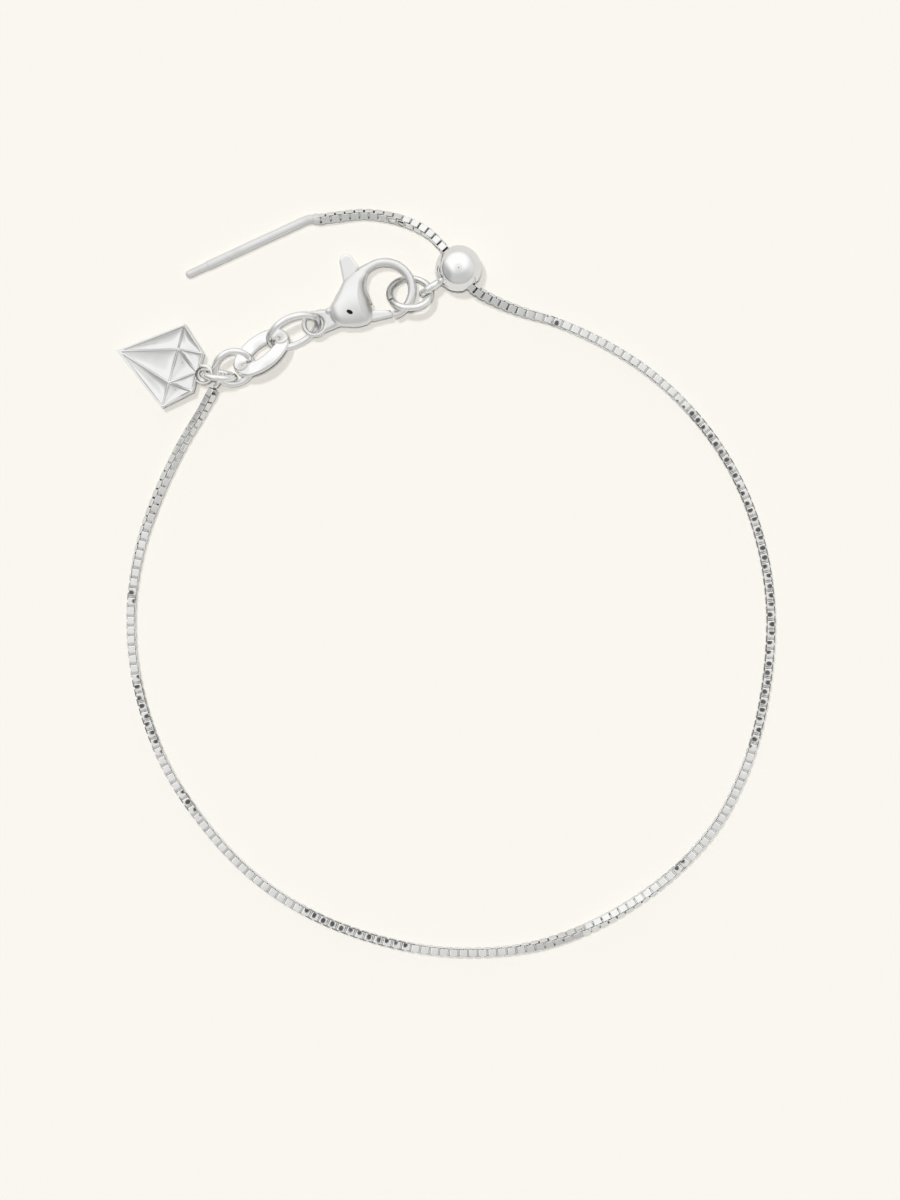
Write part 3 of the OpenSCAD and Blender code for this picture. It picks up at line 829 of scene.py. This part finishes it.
def tailOf(look):
    # ring, cast bump, and the neck, which ends in the ring's band
    place = Matrix.Translation((-look["tailReach"], 0, 0))
    neck = bodyOf("neck", neckSkin(look))
    reach = (look["tailAcross"] + look["tailHole"]) / 4
    cutAway(neck, moved(drill((2 * reach, 2 * reach), -2, 2, sides=64), place))
    neckPart = partOf(neck)
    bpy.data.objects.remove(neck)
    ring = bandRing(look["tailAcross"], look["tailHole"], look["tailThick"], look["tailSides"],
                    look["tailSteps"])
    r = look["knobAcross"] / 2
    bump = [(r * sinOf(a), r * cosOf(a)) for a in look["knobAngles"]]
    knob = moved(skin(lathe(bump, look["knobSides"])), Matrix.Translation(look["knobAt"]))
    return joined(moved(ring, place), knob, neckPart)


def drillPinHole(body, look):
    # the pin lies deep in its hole, under a mouth that the peening has drawn to a slit
    across, top = look["pinHole"], look["thick"] / 2 - look["pinRecess"]
    hole = drill((across, across), -look["thick"], top)
    mouth = drill(look["mouth"], top - look["mouthDeep"], look["thick"], look["mouthTurn"])
    cutAway(body, moved(hole, pinPlace), moved(mouth, pinPlace))


def makeClaspBody(look):
    body = bodyOf("claspBody", claspSkin(look))
    cutLeverRoom(body, look)
    body.data = meshOf("claspBody", joined(partOf(body), tailOf(look)))
    castTogether(body, look["grain"], look["tumble"])
    drillPinHole(body, look)
    return body


def creaseShadeAmount(look):
    # painted shade: the plane inside the crease is coloured darker than the crown
    west, east, south, north = look["creaseEnds"]

    def amount(face):
        at = face.center / look["hookRadius"]
        inside = (at.x - west, east - at.x, at.y - south, north - at.y,
                  face.normal.x - look["creaseTilt"])
        share = min(depth / fade for depth, fade in zip(inside, look["creaseFades"]))
        return look["creaseShade"] * clamped(share)
    return amount


def makeLever(look):
    bars = leverPrisms(look, look["leverThick"] / 2, chamfer=look["leverChamfer"])
    lever = bodyOf("claspLever", joined(*bars))
    castTogether(lever, look["leverGrain"], look["leverTumble"])
    cutAway(lever, drill((look["pinHole"], look["pinHole"]), -look["thick"], look["thick"]))
    return lever


def makePin(look):
    r, half = look["pin"] / 2, look["thick"] / 2 - look["pinRecess"]
    share, drop = look["pinChamfer"]
    centre = 0.02  # a small round in the middle of each end
    profile = [(centre, -half), (r * share, -half), (r, drop - half), (r, half - drop),
               (r * share, half), (centre, half)]
    return bodyOf("claspPin", skin(lathe(profile, look["pinSides"])))


bodyPiece = makeClaspBody(clasp)
paintedShadeFaces(bodyPiece, creaseShadeAmount(clasp))
finishPiece(bodyPiece, claspPlace, "claspSilver", "claw_body", sharpAt=55)
finishPiece(makeLever(clasp), claspPlace @ pinPlace, "litLeverSilver", "claw_lever",
            body="lever", sharpAt=55)
finishPiece(makePin(clasp), claspPlace @ pinPlace, "shadedPin", "claw_pin")


# Threading needle: its frame lies on the axis at the soldered collar, +X toward the tip
needle = {
    "at": (-12.66, 36.42, 0.55), "turn": 204.8, "bend": 26, "bendRadius": 2.0, "bendSteps": 10,
    "collarAcross": 1.1, "collarLong": 0.7, "across": 0.9, "long": 10.7,
    "tipAcross": 0.78, "tipLong": 2.4, "tipAngles": (0, 20, 40, 55, 68, 80),
    "edge": 0.06, "sides": 36,
}
collarTurn = needle["turn"] - needle["bend"]


def bendLong(n):
    return math.radians(n["bend"]) * n["bendRadius"]


def needlePoint(n, along):
    # point and heading of the bent centre line
    past = along - n["collarLong"]
    if past <= 0:
        return Vector((along, 0, 0)), 0.0
    r, a = n["bendRadius"], min(past, bendLong(n)) / n["bendRadius"]
    heading = math.degrees(a)
    point = Vector((n["collarLong"] + r * math.sin(a), r * (1 - math.cos(a)), 0))
    return point + onCircle(heading, max(past - bendLong(n), 0)), heading


def makeNeedle(n):
    r, collar, tip, e = n["across"] / 2, n["collarAcross"] / 2, n["tipAcross"] / 2, n["edge"]
    start, bend, steps = n["collarLong"], bendLong(n), n["bendSteps"]
    shaftEnd = start + bend + n["long"]
    end = shaftEnd + n["tipLong"]
    # stations: distance along, radius
    stations = [(0, collar - 2 * e), (e, collar - 0.3 * e), (2 * e, collar), (start - 2 * e, collar),
                (start - e, collar - 0.3 * e), (start, r + 0.3 * e), (start + e, r)]
    stations += [(start + e + (bend - e) * k / steps, r) for k in range(1, steps + 1)]
    stations += [(shaftEnd - 2 * e, r), (shaftEnd - 0.5 * e, r), (shaftEnd, r - 0.4 * e), (shaftEnd, tip)]
    stations += [(end - tip + tip * sinOf(a), tip * cosOf(a)) for a in n["tipAngles"]]
    rings = []
    for along, radius in stations:
        point, heading = needlePoint(n, along)
        side = onCircle(heading + 90)
        section = roundSection(radius, n["sides"])
        rings.append([point + side * s[0] + Vector((0, 0, s[1])) for s in section])
    return skin(rings)


needlePlace = Matrix.Translation(needle["at"]) @ turned(collarTurn, "Z")
finishPiece(bodyOf("threadingNeedle", makeNeedle(needle)), needlePlace, "needleSilver",
            "needle", sharpAt=45)


# Gem-shaped charm: its frame lies under the point, +X toward the flat top
charm = {
    "eyeletAt": (-24.3, 20.83), "turn": -15.4, "eyeletOut": 0.45, "eyeletUp": 0.44, "eyeletRise": 0.78,
    "long": 8.5, "wide": 8.7, "top": 4.0, "girdle": 5.9, "thick": 1.3, "nodeShare": 0.4,
    "rim": 0.12, "line": 0.1, "lineDrop": 0.13, "scoop": 0.3, "edgeSteps": 24, "floorSteps": 12,
    "hollowPowers": (0.35, 0.9, 0.9), "hollowTop": 0.11,
    "eyeletAcross": 2.1, "eyeletHole": 1.42, "eyeletThick": 0.45, "eyeletSides": 20, "eyeletSteps": 72,
    # painted shade in the grooves and on the cell floors
    "grooveShade": 0.16, "facetShade": 0.14,
    # the painted shade leaves the edge bright, so many rims wide, and the lines' tops, down to a share of
    # their drop
    "shineRim": 1.2, "shineDrop": 0.3,
    "grooveTilt": 0.82, "sideTilt": 0.15,  # faces that look up less are a groove's, or the side's
}
# Cells between the lines, as numbers of their corners: five on the outline, two on the girdle line
# and one in the middle of the flat top
charmCells = [(0, 1, 5), (0, 5, 6), (0, 6, 4), (1, 2, 5), (2, 7, 5), (5, 7, 6), (7, 3, 6), (3, 4, 6)]
# Across a cell from its edge: distance from the line's middle, and drop
lineProfile = [(0.0, 0.0), (0.55, 0.05), (0.85, 0.16), (1.0, 0.4), (1.1, 0.8), (1.2, 0.97), (1.4, 1.0)]
# Down the outside: share of the rim and depth below the face, then inset and height at the back
faceEdge = [(1, 0), (0.55, 0.01), (0.2, 0.06), (0, 0.16)]
backEdge = [(0, 0.16), (0.05, 0.05), (0.16, 0)]


def charmPlace(c):
    reach = c["long"] + c["eyeletOut"]
    lift = math.asin(c["eyeletRise"] / reach)
    at = Vector((*c["eyeletAt"], 0)) - onCircle(c["turn"], reach * math.cos(lift))
    return Matrix.Translation(at) @ turned(c["turn"], "Z") @ Matrix.Rotation(-lift, 4, "Y")


def insetOutline(points, by):
    n = len(points)
    result = []
    for i in range(n):
        before, here, after = points[i - 1], points[i], points[(i + 1) % n]
        a, b = (here - before).normalized(), (after - here).normalized()
        inA, inB = Vector((-a.y, a.x, 0)), Vector((-b.y, b.x, 0))
        result.append(here + (inA + inB) * by / (1 + inA.dot(inB)))
    return result


def charmOutline(c):
    half, top = c["wide"] / 2, c["top"] / 2
    return [Vector((x, y, 0)) for x, y in ((0, 0), (c["girdle"], -half), (c["long"], -top),
                                           (c["long"], top), (c["girdle"], half))]


def charmDrop(c, p, corners, sides, area):
    # distance from each side, and the shares that the three corners have in the point
    away = [abs((corners[(i + 1) % 3] - p).cross(corners[(i + 2) % 3] - p).z) / sides[i] for i in range(3)]
    shares = [away[i] * sides[i] / area for i in range(3)]
    hollow = 1.0
    for share, power in zip(shares, c["hollowPowers"]):
        hollow *= max(share, 0) ** power
    line = readTable(lineProfile, min(away) / c["line"])
    return c["lineDrop"] * line + c["scoop"] * hollow / c["hollowTop"]


def charmCell(c, corners):
    # a concave floor that falls away from the thin lines round it; it is deepest toward the side
    # that faces its first corner
    sides = [(corners[(i + 1) % 3] - corners[(i + 2) % 3]).length for i in range(3)]
    middle = sum((corners[i] * sides[i] for i in range(3)), Vector()) / sum(sides)
    area = abs((corners[1] - corners[0]).cross(corners[2] - corners[0]).z)
    inRadius = area / sum(sides)
    insets = [d * c["line"] for d, _ in lineProfile]
    steps = c["floorSteps"]
    insets += [insets[-1] + (inRadius - insets[-1]) * k / steps for k in range(1, steps + 1)]
    n = c["edgeSteps"]
    rings = []
    for inset in insets:
        tips = [middle + (p - middle) * (1 - inset / inRadius) for p in corners]
        rings.append([])
        for p in [tips[i].lerp(tips[(i + 1) % 3], k / n) for i in range(3) for k in range(n)]:
            drop = charmDrop(c, p, corners, sides, area)
            rings[-1].append(p + Vector((0, 0, c["thick"] - drop)))
    return walls(rings)


def charmRing(c, inset, z):
    # round the outline, with twice the points on the flat top, where two cells meet it
    edge = insetOutline(charmOutline(c), inset)
    ring = []
    for i, (a, b) in enumerate(zip(edge, edge[1:] + edge[:1])):
        pieces = c["edgeSteps"] * (2 if i == 2 else 1)
        ring += [a.lerp(b, k / pieces) + Vector((0, 0, z)) for k in range(pieces)]
    return ring


def makeCharm(c):
    rim = insetOutline(charmOutline(c), c["rim"])
    half = c["nodeShare"] * c["wide"] / 2
    corners = rim + [Vector((c["girdle"], -half, 0)), Vector((c["girdle"], half, 0)),
                     (rim[2] + rim[3]) / 2]
    cells = [charmCell(c, [corners[i] for i in cell]) for cell in charmCells]
    layers = [(c["rim"] * share, c["thick"] - down) for share, down in faceEdge] + backEdge
    rings = [charmRing(c, inset, z) for inset, z in layers]
    points, faces = walls(rings)
    piece = bodyOf("gemCharm", joined(*cells, (points, faces + [endFace(rings)])))
    reach, steps = c["long"] + c["eyeletOut"], c["eyeletSteps"]
    hole = drill((c["eyeletHole"], c["eyeletHole"]), -2, 2, sides=steps)
    cutAway(piece, moved(hole, Matrix.Translation((reach, 0, 0))))
    eyelet = moved(bandRing(c["eyeletAcross"], c["eyeletHole"], c["eyeletThick"], c["eyeletSides"], steps),
                   Matrix.Translation((reach, 0, c["eyeletUp"])))
    piece.data = meshOf("gemCharm", joined(partOf(piece), eyelet))
    return piece


def charmShadeAmount(c):
    # painted shade: inside the rim the steep sides of the lines are darkest, the flatter faces a little
    # less, and the lines' tops are left bright
    edge = insetOutline(charmOutline(c), c["rim"] * c["shineRim"])
    top = c["thick"] - c["lineDrop"] * c["shineDrop"]

    def amount(face):
        within = all((b - a).cross(face.center - a).z > 0 for a, b in zip(edge, edge[1:] + edge[:1]))
        if not within or face.center.z >= top or face.normal.z < c["sideTilt"]:
            return 0.0
        return c["grooveShade"] if face.normal.z < c["grooveTilt"] else c["facetShade"]
    return amount


charmPiece = makeCharm(charm)
paintedShadeFaces(charmPiece, charmShadeAmount(charm))
finishPiece(charmPiece, charmPlace(charm), "charmSilver", "charm", sharpAt=32,
            flatOver=0.2)


# Box chain: square links bent from strip, each turned a quarter against the last
chain = {
    "wide": 0.9, "long": 0.83, "strip": 0.69, "sheet": 0.1, "corner": 0.13, "bevel": 0.025,
    "cushion": 0.009, "cornerSteps": 3,
    "pitch": 0.482, "seed": 7, "jitter": 1.0, "routeSteps": 40,
    "endHeight": 0.95, "endGap": 0.06, "boreShare": 0.9, "boreDrop": 0.05,
    # painted shade inside the links and on the walls between them
    "paintedShade": 0.22, "steep": 0.4,
}
# Middle line of the chain: x, y and how far it is lifted off the table
loopRoute = [
    (-24.6, 17, 0), (-26.8, 13.3, 0), (-29.2, 8.1, 0), (-30.9, 2.8, 0), (-31.6, -2.7, 0),
    (-31.3, -8.3, 0), (-30, -13.8, 0), (-27.8, -19, 0), (-24.6, -23.8, 0), (-20.8, -28.1, 0),
    (-16.2, -31.7, 0), (-10.6, -34.5, 0), (-4, -36.4, 0), (2.7, -37, 0), (9.5, -36.2, 0),
    (16.1, -33.6, 0), (22, -29.6, 0), (26.7, -24.6, 0), (29.6, -19.2, 0), (31.3, -13.8, 0),
    (32.2, -8.2, 0), (32.4, -2.7, 0), (31.7, 2.8, 0), (30.1, 8.1, 0), (27.6, 13, 0),
    (24.3, 17.3, 0), (20.3, 21, 0), (15.8, 23.9, 0), (11, 26.1, 0), (7.4, 27.2, 0.15),
    (4.4, 28.4, 0.9),
]
tailRoute = [(-1.9, 35, 0.9), (-4.6, 36.3, 0.2), (-8, 36.9, 0), (-11.2, 36.62, 0.1)]
# Roll of the chain about its own line: distance along it, degrees
chainRoll = [(0, 37), (4, 40), (8, 45), (12, 58), (16, 70), (20, 81), (24, 93), (30, 92), (32, 88),
             (37, 88), (40, 92), (43, 90), (45, 88), (47, 93), (58, 93), (61, 88.5), (70, 88),
             (74, 93), (82, 94), (85, 110), (87.5, 122), (90, 138), (93, 152), (97, 166),
             (101, 179), (104, 183), (113, 183), (116, 178), (138, 178), (142, 178.8), (150, 178.8),
             (154, 182), (166, 183), (171, 165), (176, 158), (182, 175), (185, 198), (187.5, 225),
             (190, 240), (195, 242)]


def chainLine(c):
    half = c["wide"] / 2
    loop = jumpRings["chainEndLoop"]
    start = middleOf(loop["node"]) - onCircle(loop["lie"][0], loop["across"] / 2 + c["endGap"])
    start.z = c["endHeight"]
    # straight through the ball, and hanging a little low in its hole's mouths
    across = onCircle(ball["holeTurn"], c["boreShare"] * ball["across"] / 2)
    middle = Vector((*ball["at"], ball["across"] / 2))
    drop = Vector((0, 0, c["boreDrop"]))
    end = Vector(needle["at"]) + onCircle(collarTurn + 180) * c["endGap"]
    route = ([start] + [Vector((x, y, half + z)) for x, y, z in loopRoute]
             + [middle + across - drop, middle, middle - across - drop]
             + [Vector((x, y, half + z)) for x, y, z in tailRoute] + [end])
    return [Vector((x, y, max(z, half))) for x, y, z in splined(route, c["routeSteps"])]


def linkTemplate(c):
    # the strip's outline lies in the X-Z plane, and its width runs along Y; the faces bulge a little
    r, t = c["corner"], c["sheet"]
    x, z = c["long"] / 2 - r, c["wide"] / 2 - r
    stations = []
    for cx, cz, start in ((x, z, 0), (-x, z, 90), (-x, -z, 180), (x, -z, 270)):
        for k in range(c["cornerSteps"] + 1):
            stations.append((cx, cz, start + 90 * k / c["cornerSteps"], 0))
        if start in (0, 180):
            stations.append((0, cz, start + 90, c["cushion"]))
    w, b = c["strip"] / 2, c["bevel"]
    section = ((0, w - b), (-b, w), (b - t, w), (-t, w - b), (-t, b - w), (b - t, -w), (-b, -w),
               (0, b - w), (c["cushion"], 0))
    rings = []
    for cx, cz, angle, bulge in stations:
        out = Vector((cosOf(angle), 0, cosOf(angle - 90)))
        rings.append([Vector((cx, s[1], cz)) + out * (r + s[0] + (bulge if s[0] >= 0 else 0))
                      for s in section])
    # painted shade: the inside, faces 2 to 4 of the section, and the walls that face along the
    # chain, but not the strip's cut edges, faces 1 and 5
    dark = []
    for here, after in zip(stations, stations[1:] + stations[:1]):
        between = here[2] + ((after[2] - here[2] + 180) % 360 - 180) / 2
        steep = abs(cosOf(between - 90)) < c["steep"]
        dark += [k in (2, 3, 4) or (steep and k not in (1, 5)) for k in range(len(section))]
    return skin(rings, closed=True), dark


def alongLine(line, distances):
    # point and direction at each distance
    found, i, passed = [], 0, 0.0
    for distance in distances:
        while i < len(line) - 2 and passed + (line[i + 1] - line[i]).length < distance:
            passed += (line[i + 1] - line[i]).length
            i += 1
        step = line[i + 1] - line[i]
        share = (distance - passed) / step.length
        found.append((line[i] + step * share, step.normalized()))
    return found


def makeChain(c):
    line = chainLine(c)
    total = sum((b - a).length for a, b in zip(line, line[1:]))
    first, half = c["long"] / 2, c["wide"] / 2
    count = round((total - first) / c["pitch"])
    pitch = (total - first) / count
    distances = [first + pitch * k for k in range(count + 1)]
    template, dark = linkTemplate(c)
    chance = random.Random(c["seed"])
    links = []
    for k, (distance, (point, way)) in enumerate(zip(distances, alongLine(line, distances))):
        side = Vector((0, 0, 1)).cross(way).normalized()
        base = Matrix((way, side, way.cross(side))).transposed().to_4x4()
        # where the chain is rolled onto its links' corners it lies higher
        roll = readTable(chainRoll, distance)
        lean = math.radians(min(roll % 90, 90 - roll % 90))
        lift = max(c["strip"] / 2 * math.sin(lean) + half * math.cos(lean) - half, 0)
        turn = roll + (90 if k % 2 else 0) + chance.uniform(-1, 1) * c["jitter"]
        tip = chance.uniform(-1, 1) * c["jitter"]
        links.append(moved(template, Matrix.Translation(point + Vector((0, 0, lift))) @ base
                           @ turned(turn, "X") @ turned(tip, "Y")))
    print("chain:", count + 1, "links over", round(total, 1), "mm, pitch", round(pitch, 3))
    return joined(*links), dark * len(links)


chainPart, inDark = makeChain(chain)
chainPiece = inScene("boxChainLinks", rawMesh("boxChainLinks", *chainPart))
paintedShadeFaces(chainPiece, lambda face: chain["paintedShade"] if inDark[face.index] else 0.0)
finishPiece(chainPiece, Matrix.Identity(4), "chainSilver", "box_chain", sharpAt=12)
